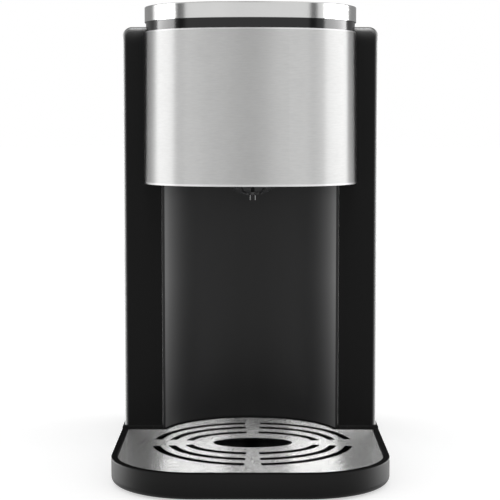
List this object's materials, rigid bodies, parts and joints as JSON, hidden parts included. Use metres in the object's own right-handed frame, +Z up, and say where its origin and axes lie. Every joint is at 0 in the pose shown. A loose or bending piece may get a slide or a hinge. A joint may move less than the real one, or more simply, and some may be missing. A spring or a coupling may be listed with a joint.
{
  "type": "instant hot water dispenser",
  "caption": "Free-standing hot water dispenser with a steel-banded brewing head over a half round cup bay, slotted drip grate and tray, and a lift-off water tank behind.",
  "frame": {"origin": "on the table, under the middle of the outline box", "axes": "+X to the right as seen from the front, +Y backwards, +Z up"},
  "size_m": [0.1764, 0.271, 0.3035],
  "materials": {
    "matt_black": "fine grained matt",
    "gloss_black": "polished",
    "brushed_steel": "brushed level",
    "bright_steel": "polished",
    "dark_glass": "polished glass panel",
    "rubber": "plain",
    "silicone": "milky",
    "tank_clear": "smoked clear plastic",
    "inner_plastic": "moulded",
    "gland_black": "moulded",
    "motor_steel": "plated",
    "board_green": "circuit board",
    "board_parts": "moulded",
    "screw_steel": "zinc plated"
  },
  "bodies": {
    "root": {"base_pan": "matt_black", "base_housing": "matt_black", "tray_dock": "matt_black", "rubber_feet": "rubber", "base_screws": "screw_steel", "body_shell": "matt_black", "rear_cover": "matt_black", "body_screws": "screw_steel", "niche_panel": "gloss_black", "head_band": "brushed_steel", "head_tub": "gloss_black", "top_frame": "gloss_black", "top_ring": "bright_steel", "control_panel": "dark_glass", "display_board": "board_green", "steam_separator": "inner_plastic", "separator_lid": "inner_plastic", "nozzle_dome": "gloss_black", "spout_tip": "gloss_black", "heater_body": "bright_steel", "heater_caps": "inner_plastic", "heater_terminals": "bright_steel", "thermal_cutouts": "motor_steel", "outlet_hose": "silicone", "feed_hose": "silicone", "suction_hose": "silicone", "link_hose": "silicone", "hose_clamps": "bright_steel", "pump_motor": "motor_steel", "pump_head": "inner_plastic", "pump_mounts": "rubber", "flow_meter_case": "inner_plastic", "flow_meter_cover": "inner_plastic", "tank_coupling": "inner_plastic", "coupling_seal": "rubber", "power_board": "board_green", "power_parts": "board_parts", "cord_gland": "gland_black"},
    "tray": {"drip_tray": "matt_black"},
    "grate": {"drip_grate": "brushed_steel"},
    "tank": {"water_tank": "tank_clear", "lid_pin": "bright_steel", "valve_body": "inner_plastic", "valve_seal": "rubber", "valve_strainer": "inner_plastic", "valve_spring": "bright_steel"},
    "lid": {"tank_lid": "matt_black"},
    "plunger": {"valve_plunger": "inner_plastic"},
    "rotor": {"pump_rotor": "inner_plastic"},
    "wheel": {"flow_wheel": "inner_plastic"}
  },
  "joints": [
    {"name": "tray_pull", "type": "slide", "parent": "root", "child": "tray", "axis": [0, -1, 0], "range_m": [0, 0.18]},
    {"name": "grate_lift", "type": "slide", "parent": "tray", "child": "grate", "axis": [0, 0, 1], "range_m": [0, 0.04]},
    {"name": "tank_lift", "type": "slide", "parent": "root", "child": "tank", "axis": [0, 0, 1], "range_m": [0, 0.27]},
    {"name": "lid_hinge", "type": "hinge", "parent": "tank", "child": "lid", "pos_m": [0, 0.1253, 0.288], "axis": [-1, 0, 0], "range_deg": [0, 100]},
    {"name": "plunger_lift", "type": "slide", "parent": "tank", "child": "plunger", "axis": [0, 0, 1], "range_m": [0, 0.003], "stiffness_N_per_m": 150, "springref_m": -0.002, "deforming": ["valve_spring"]},
    {"name": "rotor_spin", "type": "hinge", "parent": "root", "child": "rotor", "pos_m": [-0.045, 0.096, 0.0255], "axis": [1, 0, 0], "continuous": true},
    {"name": "wheel_spin", "type": "hinge", "parent": "root", "child": "wheel", "pos_m": [0.001, 0.096, 0.0255], "axis": [0, 0, 1], "continuous": true}
  ]
}
